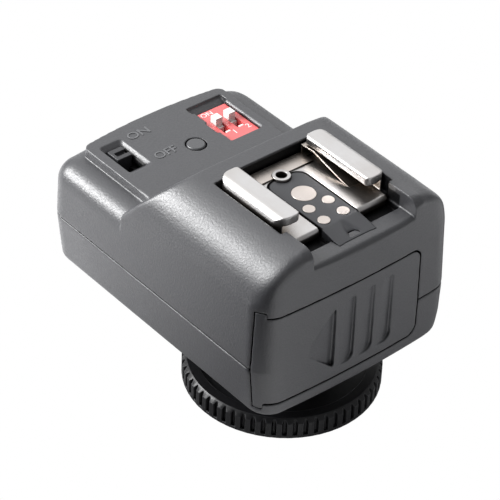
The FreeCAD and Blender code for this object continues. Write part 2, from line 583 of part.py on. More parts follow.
def antenna_coil():
    """Wire coil lying along X."""
    pitch, length, radius, wire_r = 1.0, 9.0, 1.35, 0.25
    helix = Part.makeHelix(pitch, length, radius)
    section = Part.Wire(Part.makeCircle(wire_r, V(radius, 0, 0), Y_AXIS))
    coil = Part.Wire(helix).makePipeShell([section], True, True)
    coil.rotate(V(0, 0, 0), Y_AXIS, 90)
    coil.translate(V(-3.0, -4.9, PCB_TOP + 1.9))
    return coil


save("main_board", main_board())
save("controller_chip", controller_chip())
save("radio_module", fuse(box(-6.0, 9.5, -15.0, -7.0, PCB_TOP, PCB_TOP + 0.8),
                          box(-4.5, 5.0, -14.0, -8.0, PCB_TOP + 0.8, PCB_TOP + 2.4)))
save("crystal", rounded_box(7.0, 11.4, 5.0, 9.0, PCB_TOP, PCB_TOP + 3.0, 1.9))
save("capacitors", Part.makeCompound([
    cyl(2.0, 4.8, -5.0, 9.5, PCB_TOP), cyl(1.6, 4.2, -6.0, 5.2, PCB_TOP),
    box(-18.6, -17.4, -12.0, -10.0, PCB_TOP, PCB_TOP + 1.0),
    box(-18.6, -17.4, -8.6, -6.6, PCB_TOP, PCB_TOP + 1.0)]))
save("sync_thyristor", sync_thyristor())
save("antenna_coil", antenna_coil())

# ---------------------------------------------------------------- power switch
SWITCH_BODY_Z1 = PCB_TOP + 1.6


def power_switch_housing():
    housing = box(SWITCH_X0 - 0.6, SWITCH_X1 + 0.8, SWITCH_Y0 - 0.2, SWITCH_Y1 + 0.5,
                  PCB_TOP, SWITCH_BODY_Z1)
    return housing.cut(box(SWITCH_X0 - 0.05, SWITCH_X1 + 0.05, SWITCH_Y0 + 0.45, SWITCH_Y1 - 0.45,
                           PCB_TOP + 0.5, SWITCH_BODY_Z1 + 1))


def power_switch_slider():
    """Slider at the -X end of its travel, with a groove across its top."""
    x0, x1 = SWITCH_X0 + 0.08, SWITCH_X0 + 2.78
    slider = fuse(box(x0, x1, SWITCH_Y0 + 0.55, SWITCH_Y1 - 0.55,
                      PCB_TOP + 0.6, SWITCH_BODY_Z1 + 0.4),
                  box(x0, x1, SWITCH_Y0 + 0.12, SWITCH_Y1 - 0.12,
                      SWITCH_BODY_Z1 + 0.1, Z_DECK - 0.15))
    return slider.cut(box(x0 + 0.95, x0 + 1.85, SWITCH_Y0 + 0.7, SWITCH_Y1 + 1,
                          Z_DECK - 0.75, Z_DECK + 1))


save("power_switch_housing", power_switch_housing())
save("power_switch_slider", power_switch_slider())

# ---------------------------------------------------------------- DIP switch
DIP_Z1 = Z_DECK - 0.65
DIP_X, DIP_Y = (DIP_X0 + DIP_X1) / 2, (DIP_Y0 + DIP_Y1) / 2
ACTUATOR_Y = [DIP_Y + side * DIP_PITCH / 2 for side in (-1, 1)]

dip_body = box(DIP_X0 + 0.1, DIP_X1 - 0.1, DIP_Y0 + 0.08, DIP_Y1 - 0.08, PCB_TOP, DIP_Z1)
for y in ACTUATOR_Y:
    dip_body = dip_body.cut(box(DIP_X - 2.0, DIP_X + 1.8, y - 0.72, y + 0.72,
                                DIP_Z1 - 1.3, DIP_Z1 + 1))
save("dip_switch_body", dip_body)
for i, y in enumerate(ACTUATOR_Y):
    y0, y1 = y - 0.64, y + 0.64
    save("dip_actuator_%d" % (i + 1),
         fuse(box(DIP_X - 1.92, DIP_X - 0.1, y0, y1, DIP_Z1 - 1.2, DIP_Z1 - 0.4),
              box(DIP_X - 1.9, DIP_X - 0.55, y0, y1, DIP_Z1 - 0.5, DIP_Z1 + 1.15)))

# ---------------------------------------------------------------- test button
TACT_HALF = 2.2
TACT_Z1 = PCB_TOP + 1.7
CAP_Z0 = TACT_Z1 + 0.6
save("tact_switch", box(BUTTON_X - TACT_HALF, BUTTON_X + TACT_HALF,
                        BUTTON_Y - TACT_HALF, BUTTON_Y + TACT_HALF, PCB_TOP, TACT_Z1).cut(
    cyl(1.1, 1.0, BUTTON_X, BUTTON_Y, TACT_Z1 - 0.8)))
save("tact_plunger", cyl(1.03, 0.95, BUTTON_X, BUTTON_Y, TACT_Z1 - 0.35))
save("test_button", cyl(BUTTON_R, Z_DECK + 0.12 - CAP_Z0, BUTTON_X, BUTTON_Y, CAP_Z0))

# ---------------------------------------------------------------- batteries and contacts
NUB_L = CELL_NUB + 0.01              # overlaps the cell body
# start of the body and of the nub; the first cell's nub points to the door, the second's away
for i, (body_x, nub_x) in enumerate(((CELL_X0, CELL_X0 + CELL_L - NUB_L),
                                     (CELL_X0 + CELL_NUB, CELL_X0))):
    save("battery_cell_%d" % (i + 1),
         fuse(cyl(CELL_R, CELL_L - CELL_NUB, body_x, CELL_Y[i], CELL_Z, X_AXIS),
              cyl(1.9, NUB_L, nub_x, CELL_Y[i], CELL_Z, X_AXIS)))


def end_contact(y, *extras):
    """Contact plate with a strap up to the main board."""
    return fuse(box(PLATE_X0, PLATE_X1, y - 3.5, y + 3.5, CELL_Z - 4.0, CELL_Z + 4.0), *extras,
                box(PLATE_X0, PLATE_X1, y - 1.0, y + 1.0, CELL_Z + 3.9, PCB_TOP))


def battery_spring():
    """One open turn of wire on the negative contact."""
    radius, rise, wire_r, steps = 2.6, 0.75, 0.2, 48
    turn = 3 * math.pi               # one and a half turns in all
    curve = Part.BSplineCurve()
    curve.interpolate([V(radius * math.cos(i * turn / steps), radius * math.sin(i * turn / steps),
                         rise * i / steps) for i in range(steps + 1)])
    start = curve.FirstParameter
    section = Part.Wire(Part.makeCircle(wire_r, curve.value(start), curve.tangent(start)[0]))
    spring = Part.Wire(curve.toShape()).makePipeShell([section], True, False)
    spring.rotate(V(0, 0, 0), Y_AXIS, 90)
    spring.translate(V(PLATE_X1 + 0.22, CELL_Y[0], CELL_Z))
    return spring


save("positive_contact",
     end_contact(CELL_Y[1], cyl(1.6, 1.21, PLATE_X1 - 0.01, CELL_Y[1], CELL_Z, X_AXIS)))
save("negative_contact", end_contact(CELL_Y[0]))
save("battery_spring", battery_spring())


# ---------------------------------------------------------------- housing and board screws
def pan_screw(x, y, z_head, head_r, head_h, length):
    """Screw pointing up, with a cross recess in the head below."""
    screw = fuse(cyl(head_r, head_h, x, y, z_head),
                 cyl(R_SCREW, length, x, y, z_head + head_h - 0.01))
    half_long = head_r * 0.6
    return cut_cross(screw, x, y, half_long, 0.22 * half_long,
                     z_head - 0.1, z_head + head_h * 0.55)


save("housing_screws", Part.makeCompound(
    [pan_screw(x, y, z_head=13.55, head_r=1.95, head_h=1.345, length=18.0) for x, y in BOSSES]))
save("board_screws", Part.makeCompound(
    [pan_screw(x, y, z_head=PCB_Z0 - 1.1, head_r=1.7, head_h=1.1, length=2.6)
     for x, y in PCB_SCREWS]))


# ---------------------------------------------------------------- locking foot
def shoe_foot():
    foot = rounded_box(-FOOT_L / 2, FOOT_L / 2, -FOOT_W / 2, FOOT_W / 2, 0, FOOT_T, 2.2)
    rims = [e for e in foot.Edges if abs(e.BoundBox.ZMax - e.BoundBox.ZMin) < 1e-6]
    foot = foot.makeChamfer(0.25, rims)
    for x, y in FOOT_HOLES:          # countersunk from below
        foot = cut(foot, cyl(FOOT_SCREW_HOLE_R, 4, x, y, -1),
                   cone(2.0, FOOT_SCREW_HOLE_R, 0.95, x, y, -0.0001))
    return foot


def threaded_stem():
    """Stem with ring-shaped thread ridges, a top flange and two flats."""
    root_r = STEM_R - THREAD_DEPTH
    stem = cyl(root_r, Z_BOT - FOOT_T, 0, 0, FOOT_T)
    z = FOOT_T + 1.5
    ridges = []
    while z < Z_BOT - 1.9:
        crest_z = z + THREAD_FLANK
        ridges.append(fuse(cone(root_r, STEM_R, THREAD_FLANK, 0, 0, z),
                           cyl(STEM_R, THREAD_CREST, 0, 0, crest_z),
                           cone(STEM_R, root_r, THREAD_FLANK, 0, 0, crest_z + THREAD_CREST)))
        z += STEM_PITCH
    stem = fuse(stem, *ridges)
    stem = fuse(stem, cyl(7.4, 1.2, 0, 0, Z_BOT - 1.2))
    for side in (1, -1):
        stem = stem.cut(side_box(side, -10, 10, STEM_FLAT, 10, FOOT_T, Z_BOT - 1.7))
    for x, y in FOOT_HOLES:
        stem = stem.cut(cyl(FOOT_SCREW_HOLE_R, 20, x, y, 0))
    return stem


def foot_screw(x, y):
    screw = fuse(cone(1.95, R_SCREW, 1.05, x, y, 0.02), cyl(R_SCREW, 13.6, x, y, 1.06))
    return cut_cross(screw, x, y, 1.1, 0.22, -0.1, 0.55)


def pressure_plate():
    flat = STEM_FLAT + FIT
    hole = cyl(STEM_R + FIT, 5, 0, 0, 0).common(box(-10, 10, -flat, flat, 0, 5))
    return cyl(11.0, 1.0, 0, 0, FOOT_T + 0.06).cut(hole)


def locking_wheel():
    height = WHEEL_Z1 - WHEEL_Z0
    root_r = WHEEL_R - TOOTH_DEPTH
    pitch = 2 * math.pi / WHEEL_TEETH
    points = []
    for i in range(WHEEL_TEETH):
        # angle as a fraction of the tooth pitch, radius
        for part, r in ((-0.25, WHEEL_R), (0.25, WHEEL_R), (0.40, root_r), (0.60, root_r)):
            angle = (i + part) * pitch
            points.append((r * math.cos(angle), r * math.sin(angle)))
    wheel = xy_prism(points, WHEEL_Z0, WHEEL_Z1)
    # plain rim under the teeth, coned rim on top
    wheel = wheel.fuse(cyl(WHEEL_R - 0.02, 0.45, 0, 0, WHEEL_Z0))
    bevel = 0.7
    wheel = wheel.common(cone(WHEEL_R + height - bevel, WHEEL_R - bevel, height, 0, 0, WHEEL_Z0))
    wheel = wheel.cut(cyl(STEM_R + FIT, 10, 0, 0, 0))
    # recess for the pressure plate, dished top, hub
    wheel = wheel.cut(cyl(11.1, 0.95, 0, 0, WHEEL_Z0 - 0.01))
    wheel = wheel.cut(cut(cyl(13.2, 0.8, 0, 0, WHEEL_Z1 - 0.8), cyl(8.0, 2, 0, 0, WHEEL_Z1 - 1.0)))
    return wheel.fuse(cut(cyl(7.6, 1.2, 0, 0, WHEEL_Z1 - 0.01),
                          cyl(STEM_R + FIT, 4, 0, 0, WHEEL_Z1 - 1)))


save("shoe_foot", shoe_foot())
save("threaded_stem", threaded_stem())
save("foot_screws", Part.makeCompound([foot_screw(x, y) for x, y in FOOT_HOLES]))
save("pressure_plate", pressure_plate())
save("locking_wheel", locking_wheel())
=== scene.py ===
"""A camera hot-shoe radio flash trigger, lying along X with +Z up.

The shoe and its contacts stand on top towards +X; the deck towards -X carries the power
switch, the two-way switch block and their lettering. The locking wheel and foot are modelled too.
Geometry is written in millimetres and scaled by MM; lengths in materials, stage and
lights are in metres unless a comment says otherwise.
"""
import math
import json
import bpy, bmesh
import numpy as np
from mathutils import Vector, Matrix


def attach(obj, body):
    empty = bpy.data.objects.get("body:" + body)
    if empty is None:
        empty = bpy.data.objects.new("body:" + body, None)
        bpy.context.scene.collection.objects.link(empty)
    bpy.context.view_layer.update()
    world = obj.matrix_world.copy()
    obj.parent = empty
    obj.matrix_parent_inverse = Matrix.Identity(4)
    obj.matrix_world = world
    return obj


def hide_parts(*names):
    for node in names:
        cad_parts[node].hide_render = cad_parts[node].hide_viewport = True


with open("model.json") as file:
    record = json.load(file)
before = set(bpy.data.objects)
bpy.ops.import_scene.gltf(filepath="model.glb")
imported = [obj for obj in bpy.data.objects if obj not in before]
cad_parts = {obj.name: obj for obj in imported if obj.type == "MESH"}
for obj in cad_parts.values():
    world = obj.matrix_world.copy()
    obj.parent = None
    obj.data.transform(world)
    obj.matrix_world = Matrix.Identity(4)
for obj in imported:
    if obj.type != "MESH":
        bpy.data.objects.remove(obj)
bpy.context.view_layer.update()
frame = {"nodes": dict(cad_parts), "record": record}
nodes = frame["nodes"]

MM = 0.001
BODY_OF_NODE = {node: body
                for body, members in frame["record"]["behaviour"]["bodies"].items()
                for node in members}
SLOTS = [entry["slot"] for entry in frame["record"]["materials"]]
SLOT_OF = {"button_top": "housing"}     # slot for a material that has none of its own
MAT = {}                                # materials by name

scene = bpy.context.scene
collection = scene.collection


# ------------------------------------------------------------------ node graphs
class Graph:
    """A cleared node tree with short ways to add and join nodes."""

    def __init__(self, tree):
        self.tree = tree
        self.tree.nodes.clear()

    def new(self, kind, **settings):
        node = self.tree.nodes.new(kind)
        for key, value in settings.items():
            setattr(node, key, value)
        return node

    def feed(self, socket, value):
        """Links an output, or sets a number or an RGB colour."""
        if isinstance(value, bpy.types.NodeSocket):
            self.tree.links.new(value, socket)
        elif isinstance(value, tuple):
            socket.default_value = (*value, 1.0)
        else:
            socket.default_value = value

    def remap(self, value, span, to=(0, 1), interpolation="LINEAR"):
        node = self.new("ShaderNodeMapRange", interpolation_type=interpolation)
        for key, number in zip(("From Min", "From Max", "To Min", "To Max"), (*span, *to)):
            node.inputs[key].default_value = number
        self.feed(node.inputs["Value"], value)
        return node.outputs["Result"]

    def math(self, operation, *values):
        node = self.new("ShaderNodeMath", operation=operation)
        for i, value in enumerate(values):
            self.feed(node.inputs[i], value)
        return node.outputs[0]

    def mix_shader(self, factor, first, second):
        node = self.new("ShaderNodeMixShader")
        for i, value in enumerate((factor, first, second)):
            self.feed(node.inputs[i], value)
        return node.outputs[0]


class Shader(Graph):
    """A new material with a Principled surface, textured in object coordinates."""

    def __init__(self, name):
        self.material = bpy.data.materials.new(name)
        self.material.use_nodes = True
        super().__init__(self.material.node_tree)
        MAT[name] = self.material
        self.surface = self.new("ShaderNodeOutputMaterial").inputs["Surface"]
        self.principled = self.new("ShaderNodeBsdfPrincipled")
        self.feed(self.surface, self.principled.outputs["BSDF"])
        self.position = self.new("ShaderNodeTexCoord").outputs["Object"]

    def put(self, name, value):
        self.feed(self.principled.inputs[name], value)

    def noise(self, scale, detail=2.0, rough=0.5, position=None):
        node = self.new("ShaderNodeTexNoise")
        node.inputs["Scale"].default_value = scale
        node.inputs["Detail"].default_value = detail
        node.inputs["Roughness"].default_value = rough
        self.feed(node.inputs["Vector"], position or self.position)
        return node.outputs["Fac"]

    def voronoi(self, scale, feature="F1"):
        node = self.new("ShaderNodeTexVoronoi", feature=feature)
        node.inputs["Scale"].default_value = scale
        self.feed(node.inputs["Vector"], self.position)
        return node.outputs["Distance"]

    def stretched(self, scale, offset=(0, 0, 0)):
        node = self.new("ShaderNodeMapping")
        node.inputs["Scale"].default_value = scale
        node.inputs["Location"].default_value = offset
        self.feed(node.inputs["Vector"], self.position)
        return node.outputs["Vector"]

    def mix(self, factor, first, second):
        node = self.new("ShaderNodeMix", data_type="RGBA")
        # inputs 6 and 7 and output 2 are the colour sockets
        for i, value in ((0, factor), (6, first), (7, second)):
            self.feed(node.inputs[i], value)
        return node.outputs[2]

    def xyz(self):
        node = self.new("ShaderNodeSeparateXYZ")
        self.feed(node.inputs[0], self.position)
        return node.outputs

    def bump(self, height, strength, distance=0.00004, normal=None):
        node = self.new("ShaderNodeBump")
        node.inputs["Strength"].default_value = strength
        node.inputs["Distance"].default_value = distance
        self.feed(node.inputs["Height"], height)
        if normal is not None:
            self.feed(node.inputs["Normal"], normal)
        self.put("Normal", node.outputs["Normal"])

    def openness(self, distance, dark, span):
        """1 in the open, falling to dark in crevices, for painting shade into colour."""
        node = self.new("ShaderNodeAmbientOcclusion", samples=6)
        node.inputs["Distance"].default_value = distance
        return self.remap(node.outputs["AO"], span, to=(dark, 1.0))

    def rounded(self, radius):
        node = self.new("ShaderNodeBevel", samples=6)
        node.inputs["Radius"].default_value = radius
        return node.outputs["Normal"]

    def outside(self, box, soft=0.00025, dark=0.16):
        """1 outside the box (x0, x1, y0, y1, z0, z1 in mm), dark inside it, for painting shade
        into colour.
        """
        axes = self.xyz()
        within = None
        for i in range(3):
            for limit, inward in ((box[2 * i] * MM, 1), (box[2 * i + 1] * MM, -1)):
                past = self.remap(axes[i], (limit, limit + inward * soft))
                within = past if within is None else self.math("MULTIPLY", within, past)
        return self.remap(within, (0, 1), to=(1, dark))

    def gap_shadow(self, center_x, half_x, half_y, radius, band, end_x, fade=0.15, dark=0.05):
        """Dark inside the outline of a rounded rectangle, up to x = end_x (all in mm)."""
        axes = self.xyz()
        from_center = self.math("ABSOLUTE", self.math("SUBTRACT", axes[0], center_x * MM))
        past_x = self.math(
            "MAXIMUM", self.math("SUBTRACT", from_center, (half_x - radius) * MM), 0.0)
        from_axis = self.math("ABSOLUTE", axes[1])
        past_y = self.math(
            "MAXIMUM", self.math("SUBTRACT", from_axis, (half_y - radius) * MM), 0.0)
        reach = self.math("SQRT", self.math(
            "ADD", self.math("MULTIPLY", past_x, past_x), self.math("MULTIPLY", past_y, past_y)))
        edge_span = ((radius - band) * MM, (radius - band * 0.5) * MM)
        shadow = self.remap(reach, edge_span, to=(1.0, dark))
        end_span = ((end_x - fade) * MM, (end_x + fade) * MM)
        return self.math("MAXIMUM", shadow, self.remap(axes[0], end_span))


MIDDLE = (0.3, 0.7)     # the part of a noise's range that is used
BLACK = (0.0, 0.0, 0.0)


def scaled(rgb, factor):
    return tuple(c * factor for c in rgb)


# ------------------------------------------------------------------ materials
def plastic(name, rgb, *, rough, grain, scale=5200.0, mottle=0.10, spec=0.5, edge=0.0,
            crevice=None, boxes=(), gap=None, edge_highlight_rgb=None):
    """Moulded plastic: spark-eroded grain, faint flow mottling, slightly uneven sheen.

    grain: bump strength; scale: grain fineness; edge: radius of the shaded edge rounding;
    crevice: openness() settings for painted shade in crevices; boxes, gap: places given further
    painted shade; edge_highlight_rgb: colour of a painted edge highlight.
    """
    n = Shader(name)
    flow = n.noise(90.0, detail=3.0)
    fine = n.noise(scale, rough=0.6)
    cells = n.voronoi(scale * 0.8, "SMOOTH_F1")
    darker = scaled(rgb, 1 - mottle)
    lighter = tuple(min(1.0, c) for c in scaled(rgb, 1 + mottle))
    color = n.mix(n.remap(flow, MIDDLE), darker, lighter)
    color = n.mix(n.remap(fine, (0.35, 0.65), to=(0.0, 0.35)), color, scaled(rgb, 0.82))
    n.put("Roughness", n.math("ADD", n.remap(fine, MIDDLE, to=(rough - 0.05, rough + 0.05)),
                              n.remap(flow, MIDDLE, to=(-0.03, 0.03))))
    n.put("Specular IOR Level", spec)
    # painted shade: colour and specular darkened in crevices, inside the boxes and along the gap
    if crevice:
        light = n.openness(**crevice)
        for box in boxes:
            light = n.math("MULTIPLY", light, n.outside(box))
        if gap:
            light = n.math("MULTIPLY", light, n.gap_shadow(**gap))
        color = n.mix(light, BLACK, color)
        n.put("Specular IOR Level", n.math("MULTIPLY", light, spec))
    height = n.math("ADD", fine, n.math("MULTIPLY", cells, 0.5))
    normal = n.rounded(edge) if edge else None
    if edge_highlight_rgb:
        # painted edge highlight: edges are lightened where the rounded normal turns away from the
        # true one
        turn = n.new("ShaderNodeVectorMath", operation="DOT_PRODUCT")
        n.feed(turn.inputs[0], n.rounded(0.00016))
        n.feed(turn.inputs[1], n.new("ShaderNodeNewGeometry").outputs["True Normal"])
        color = n.mix(n.remap(turn.outputs["Value"], (0.99, 0.80)), color, edge_highlight_rgb)
    n.put("Base Color", color)
    n.bump(height, grain, normal=normal)


def metal(name, rgb, *, rough, brushed, bump, axis=0, tint=None, metallic=1.0,
          shade_rgb=None, shade_span=None):
    """Plated or bare metal: scratches along axis, tarnish clouds, uneven polish.

    brushed: swing of roughness over the scratches; tint: cloud colour;
    shade_rgb, shade_span: colour of the painted shade in hollows and the openness over which it
    fades.
    """
    n = Shader(name)
    stretch = [2500.0, 2500.0, 2500.0]
    stretch[axis] = 60.0
    scratches = n.noise(1.0, detail=3.0, rough=0.7, position=n.stretched(stretch))
    clouds = n.noise(260.0, detail=4.0)
    color = n.mix(n.remap(clouds, (0.35, 0.68)), rgb, tint or scaled(rgb, 0.9))
    # painted shade: colour darkened in hollows, widely and in narrow gaps
    if shade_rgb:
        wide = n.openness(distance=0.0040, dark=0.0, span=shade_span)
        color = n.mix(wide, shade_rgb, color)
        narrow = n.openness(distance=0.00045, dark=0.0, span=(0.30, 0.62))
        color = n.mix(narrow, (0.02, 0.017, 0.014), color)
    n.put("Base Color", color)
    n.put("Metallic", metallic)
    swing = brushed * 0.12
    n.put("Roughness", n.math("ADD", n.remap(scratches, MIDDLE, to=(rough - swing, rough + swing)),
                              n.remap(clouds, MIDDLE, to=(-0.04, 0.06))))
    n.bump(scratches, bump, distance=0.00002, normal=n.rounded(0.00010))


def board_tracks(n, stretch, offset, lines, span):
    """One family of meandering lines: contours of a smooth stretched noise."""
    field = n.noise(1.0, detail=0.0, position=n.stretched(stretch, offset))
    phase = n.math("FRACT", n.math("MULTIPLY", field, lines))
    return n.remap(n.math("ABSOLUTE", n.math("SUBTRACT", phase, 0.5)), span, to=(1, 0))


def board_green(name):
    """Circuit board: copper tracks under green mask, bare round pads."""
    n = Shader(name)
    tracks = n.math(
        "MAXIMUM",
        board_tracks(n, stretch=(180, 520, 1), offset=(0, 0, 0), lines=6.0, span=(0.10, 0.14)),
        board_tracks(n, stretch=(560, 170, 1), offset=(3, 7, 0), lines=5.0, span=(0.09, 0.13)))
    pads = n.remap(n.voronoi(420.0), (0.10, 0.13), to=(1, 0))
    fine = n.noise(3000.0)
    color = n.mix(n.remap(fine, MIDDLE), (0.012, 0.085, 0.035), (0.016, 0.105, 0.045))
    color = n.mix(n.math("MULTIPLY", tracks, 0.6), color, (0.035, 0.20, 0.085))
    n.put("Base Color", n.mix(pads, color, (0.62, 0.60, 0.56)))
    n.put("Metallic", n.math("MULTIPLY", pads, 0.9))
    n.put("Roughness", 0.32)
    n.bump(n.math("ADD", n.math("MULTIPLY", tracks, 0.5), pads), strength=0.5)


def battery_sleeve(name):
    """Battery sleeve: two tones along X with a thin band between, under glossy film."""
    n = Shader(name)
    x = n.xyz()[0]
    band_start, band_end = (-0.0062, -0.0060), (-0.0042, -0.0040)
    wear = n.noise(700.0)
    fine = n.noise(2600.0)
    pale_part = n.remap(x, band_end)
    band = n.math("MULTIPLY", n.remap(x, band_start), n.remap(x, band_end, to=(1, 0)))
    color = n.mix(pale_part, (0.030, 0.12, 0.055), (0.62, 0.63, 0.62))
    color = n.mix(band, color, (0.78, 0.60, 0.10))
    color = n.mix(n.remap(wear, (0.4, 0.7), to=(0, 0.18)), color, (0.02, 0.05, 0.03))
    n.put("Base Color", color)
    n.put("Metallic", 0.35)
    n.put("Roughness", n.remap(fine, MIDDLE, to=(0.22, 0.32)))
    n.put("Coat Weight", 0.6)
    n.put("Coat Roughness", 0.12)
    n.bump(wear, strength=0.08)


# parts of the housing kept in shadow: x0, x1, y0, y1, z0, z1 in mm
HOUSING_BOXES = (
    (-5.9, -4.9, -10.6, 10.6, 36.8, 39.62),     # thin slab across, on the -X side of the shoe
    (9.4, 12.9, -9.9, 9.9, 35.0, 36.93),        # low slab across, at the +X end
    (8.9, 12.6, 9.4, 10.8, 36.8, 39.0),         # small block above its +Y end
    (-29.5, -23.0, -12.3, -8.1, 20.0, 31.75),   # below the deck, on the -Y side
    (-29.2, -19.5, 5.0, 11.35, 20.0, 31.75),    # below the deck, on the +Y side
)

plastic("button_top", (0.062, 0.0625, 0.067), rough=0.36, grain=0.3, mottle=0.05, spec=0.8)
plastic("raised_letter", (0.115, 0.116, 0.122), rough=0.40, grain=0.2, mottle=0.05, spec=0.8)
# crevice, boxes and gap paint shade into the colour of the housing, insert, wheel and red switch
# body
plastic("housing", (0.046, 0.0465, 0.051), rough=0.41, grain=0.75, scale=3600.0, mottle=0.06,
        spec=0.8, crevice=dict(distance=0.0009, dark=0.05, span=(0.40, 0.85)),
        boxes=HOUSING_BOXES)
plastic("insert_plastic", (0.046, 0.047, 0.052), rough=0.40, grain=0.2, scale=6500,
        edge=0.00012, crevice=dict(distance=0.0006, dark=0.15, span=(0.35, 0.8)),
        gap=dict(center_x=17.65, half_x=20.0, half_y=3.54, radius=1.9, band=0.30, end_x=10.6))
# shade_rgb paints shade into the hollows of the nickel and spring steel
metal("nickel", (0.57, 0.56, 0.555), rough=0.33, brushed=0.25, bump=0.012,
      tint=(0.535, 0.515, 0.50), shade_rgb=(0.12, 0.095, 0.072), shade_span=(0.30, 0.80))
metal("contact_nickel", (0.63, 0.575, 0.535), rough=0.34, brushed=0.5, bump=0.03, axis=1,
      tint=(0.59, 0.53, 0.49), metallic=0.93)
metal("spring_steel", (0.61, 0.56, 0.52), rough=0.34, brushed=0.4, bump=0.012,
      tint=(0.60, 0.54, 0.49), shade_rgb=(0.13, 0.10, 0.072), shade_span=(0.25, 0.75))
# the wheel's lighter edges are a painted highlight
plastic("wheel_plastic", (0.0065, 0.0065, 0.0075), rough=0.36, grain=0.12, scale=5000,
        mottle=0.15, spec=0.35, edge=0.00014,
        crevice=dict(distance=0.0006, dark=0.1, span=(0.4, 0.9)), edge_highlight_rgb=(0.05, 0.051, 0.055))
plastic("foot_plastic", (0.012, 0.012, 0.0135), rough=0.42, grain=0.2, mottle=0.15, edge=0.0001)
plastic("dip_red", (0.88, 0.13, 0.13), rough=0.36, grain=0.08, scale=7000, mottle=0.08,
        spec=1.0, edge=0.00006, crevice=dict(distance=0.0008, dark=0.65, span=(0.30, 0.75)))
plastic("dip_white", (0.86, 0.85, 0.82), rough=0.34, grain=0.08, scale=7000, mottle=0.03,
        edge=0.00006)
plastic("print_white", (0.90, 0.90, 0.88), rough=0.5, grain=0.1, scale=9000, mottle=0.05)
plastic("switch_black", (0.010, 0.010, 0.011), rough=0.42, grain=0.15, scale=6000, edge=0.00006)
plastic("knob_grey", (0.034, 0.0345, 0.038), rough=0.42, grain=0.2, scale=6000, edge=0.00008)
plastic("chip_black", (0.013, 0.013, 0.015), rough=0.5, grain=0.3, scale=8000, edge=0.00006)
metal("tin", (0.74, 0.745, 0.75), rough=0.28, brushed=0.6, bump=0.15, axis=1)
metal("copper_wire", (0.80, 0.40, 0.19), rough=0.22, brushed=0.3, bump=0.05)
plastic("wire_jacket", (0.42, 0.03, 0.03), rough=0.45, grain=0.1)
metal("screw_steel", (0.30, 0.30, 0.31), rough=0.30, brushed=0.5, bump=0.1)
board_green("pcb_green")
battery_sleeve("cell_wrap")


# ------------------------------------------------------------------ mesh helpers
def link_object(name, data):
    obj = bpy.data.objects.new(name, data)
    collection.objects.link(obj)
    return obj


def add_piece(name, mesh, material, node=None, slot=None):
    """Adds an object in place of a CAD node, or riding on the root body."""
    obj = link_object(name, mesh)
    mesh.materials.clear()      # also resets material indices copied from the CAD
    mesh.materials.append(MAT[material])
    if node:
        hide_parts(node)
    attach(obj, BODY_OF_NODE[node] if node else "root")
    slot = slot or (material if material in SLOTS else SLOT_OF.get(material))
    return obj


def shade_smooth(mesh, sharp_angle=None):
    mesh.polygons.foreach_set("use_smooth", np.ones(len(mesh.polygons), bool))
    if sharp_angle is not None:
        mesh.set_sharp_from_angle(angle=math.radians(sharp_angle))
    mesh.update()


def mesh_from(bm, name):
    mesh = bpy.data.meshes.new(name)
    bm.to_mesh(mesh)
    bm.free()
    return mesh


def cad_piece(node, material, merge_flat):
    """The CAD node welded, with its flat faces merged to single polygons if asked."""
    bm = bmesh.new()
    bm.from_mesh(nodes[node].data)
    bmesh.ops.remove_doubles(bm, verts=bm.verts, dist=3e-6)
    bmesh.ops.dissolve_degenerate(bm, edges=bm.edges, dist=1e-6)
    if merge_flat:
        bmesh.ops.dissolve_limit(bm, angle_limit=math.radians(0.6), verts=bm.verts,
                                 use_dissolve_boundaries=False, edges=bm.edges,
                                 delimit={"NORMAL"})
    return add_piece(node + "_v", mesh_from(bm, node + "_mesh"), material, node)


def apply_modifiers(obj):
    depsgraph = bpy.context.evaluated_depsgraph_get()
    mesh = bpy.data.meshes.new_from_object(
        obj.evaluated_get(depsgraph), preserve_all_data_layers=True, depsgraph=depsgraph)
    old = obj.data
    obj.modifiers.clear()
    obj.data = mesh
    bpy.data.meshes.remove(old)


def crisp(node, material, width, segments=2, angle=32):
    """A copy of the CAD node with edges sharper than angle rounded by width (mm)."""
    obj = cad_piece(node, material, merge_flat=True)
    if width:
        bevel = obj.modifiers.new("bevel", "BEVEL")
        bevel.width = width * MM
        bevel.segments = segments
        bevel.limit_method = "ANGLE"
        bevel.angle_limit = math.radians(angle)
        bevel.use_clamp_overlap = True
        bevel.harden_normals = False
        apply_modifiers(obj)
    shade_smooth(obj.data, sharp_angle=38)
    weighted = obj.modifiers.new("wn", "WEIGHTED_NORMAL")
    weighted.keep_sharp = True
    weighted.weight = 80
    apply_modifiers(obj)


def moulded(node, material, voxel, passes):
    """A copy of the CAD node remeshed (voxel in mm) and smoothed, for soft moulded edges."""
    obj = cad_piece(node, material, merge_flat=False)
    remesh = obj.modifiers.new("remesh", "REMESH")
    remesh.mode = "VOXEL"
    remesh.voxel_size = voxel * MM
    remesh.adaptivity = 0.0
    remesh.use_smooth_shade = True
    smoothing = obj.modifiers.new("smooth", "SMOOTH")
    smoothing.factor = 0.5
    smoothing.iterations = passes
    apply_modifiers(obj)
    shade_smooth(obj.data)
    return obj


def ramp(start, end, value):
    """Smooth step from 0 at start to 1 at end."""
    t = np.clip((value - start) / (end - start), 0, 1)
    return t * t * (3 - 2 * t)


